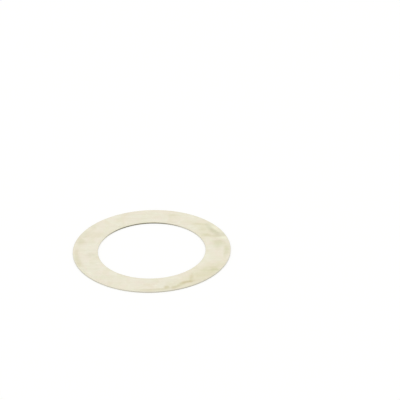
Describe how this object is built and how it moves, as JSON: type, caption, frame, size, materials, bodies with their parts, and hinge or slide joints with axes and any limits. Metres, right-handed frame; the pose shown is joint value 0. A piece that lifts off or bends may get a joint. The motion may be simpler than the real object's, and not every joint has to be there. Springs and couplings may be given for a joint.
{
  "type": "shim ring",
  "caption": "Thin flat steel ring with a plain round bore and stamped edges, slid over a shaft to take up end float.",
  "frame": {"origin": "centre of the underside, which is the burr side that lies flat", "axes": "+Z along the bore, out through the die-roll side"},
  "size_m": [0.0412, 0.0412, 0.0003],
  "materials": {
    "rolled_steel": "bare cold-rolled steel with fine straight rolling lines, a thin film of oil and light handling marks"
  },
  "bodies": {
    "root": {"shim_ring": "rolled_steel"}
  },
  "joints": []
}
